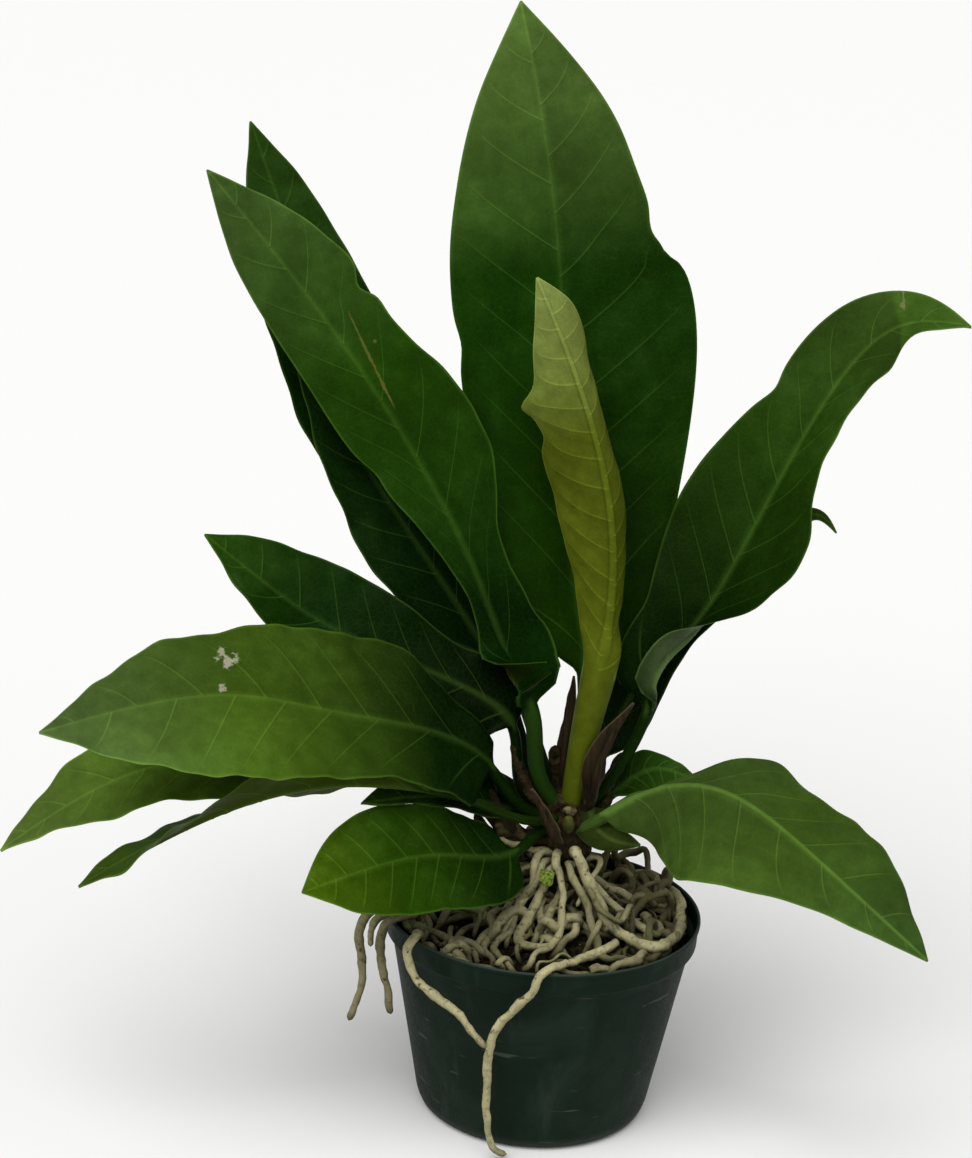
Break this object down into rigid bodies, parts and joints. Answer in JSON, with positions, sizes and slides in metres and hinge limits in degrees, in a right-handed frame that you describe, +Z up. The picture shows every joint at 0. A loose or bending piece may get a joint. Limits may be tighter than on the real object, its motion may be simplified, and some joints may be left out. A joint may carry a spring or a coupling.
{
  "type": "potted anthurium",
  "caption": "bird's-nest anthurium with long pointed leaves, a rolled new leaf and pale aerial roots, standing in a dark green nursery pot",
  "frame": {"origin": "centre of the flat underside of the pot, on the surface it stands on", "axes": "+Z up; the front of the plant, where two roots run down the pot, faces -Y; +X to its right as seen from the front"},
  "size_m": [0.4509, 0.2125, 0.5472],
  "materials": {
    "pot_plastic": "satin",
    "potting_mix": "matte",
    "stem_brown": "matte",
    "root_cream": "matte",
    "leaf_green": "satin",
    "leaf_dark": "satin",
    "leaf_new": "satin",
    "sheath_brown": "matte",
    "bark_brown": "matte",
    "bud_green": "satin",
    "moss_green": "matte"
  },
  "bodies": {
    "root": {"aerial_roots": "root_cream", "bark_chip_01": "bark_brown", "bark_chip_02": "bark_brown", "bark_chip_03": "bark_brown", "bark_chip_04": "bark_brown", "bark_chip_05": "bark_brown", "bark_chip_06": "bark_brown", "bark_chip_07": "bark_brown", "bark_chip_08": "bark_brown", "bark_chip_09": "bark_brown", "bark_chip_10": "bark_brown", "bark_chip_11": "bark_brown", "bud": "bud_green", "leaf_front_shade": "leaf_dark", "leaf_front_small": "leaf_green", "leaf_left_back": "leaf_dark", "leaf_left_front": "leaf_green", "leaf_left_middle": "leaf_green", "leaf_left_shade": "leaf_dark", "leaf_left_twisted": "leaf_green", "leaf_left_under": "leaf_green", "leaf_left_wide": "leaf_green", "leaf_new": "leaf_new", "leaf_right_front": "leaf_green", "leaf_right_low": "leaf_dark", "leaf_right_shade": "leaf_dark", "leaf_right_wavy": "leaf_green", "leaf_tall": "leaf_green", "moss_tuft": "moss_green", "nursery_pot": "pot_plastic", "potting_mix": "potting_mix", "roots_over_front": "root_cream", "roots_over_left": "root_cream", "sheath_left": "sheath_brown", "sheath_low": "sheath_brown", "sheath_right": "sheath_brown", "stem": "stem_brown"}
  },
  "joints": []
}
